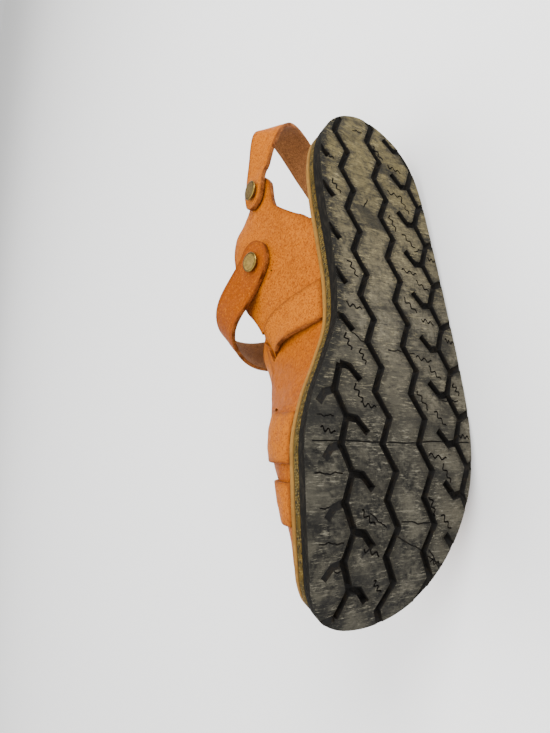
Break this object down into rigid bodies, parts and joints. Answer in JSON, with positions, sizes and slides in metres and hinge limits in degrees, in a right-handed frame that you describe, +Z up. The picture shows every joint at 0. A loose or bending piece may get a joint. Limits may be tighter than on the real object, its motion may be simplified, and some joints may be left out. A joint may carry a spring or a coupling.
{
  "type": "fisherman sandal",
  "caption": "Closed-toe leather fisherman sandal with crossed straps woven through slots, a press-stud instep strap, a heel strap and a zigzag rubber tread.",
  "frame": {"origin": "middle of the footprint on the floor, with the sandal lying on its outer side", "axes": "+Y towards the toe, +Z up to the sandal's inner side, and the tread faces -X"},
  "size_m": [0.1182, 0.3028, 0.1064],
  "materials": {
    "tread_rubber": "matt, worn",
    "ply_rubber": "matt, speckled",
    "midsole_leather": "satin, natural edge",
    "insole_leather": "satin",
    "upper_leather": "satin, oiled full grain",
    "snap_brass": "antique, satin"
  },
  "bodies": {
    "root": {"outsole": "tread_rubber", "ply_layer": "ply_rubber", "midsole": "midsole_leather", "insole": "insole_leather", "upper": "upper_leather", "instep_strap": "upper_leather", "heel_strap": "upper_leather", "instep_snap": "snap_brass", "heel_snap_inner": "snap_brass", "heel_snap_outer": "snap_brass"}
  },
  "joints": []
}
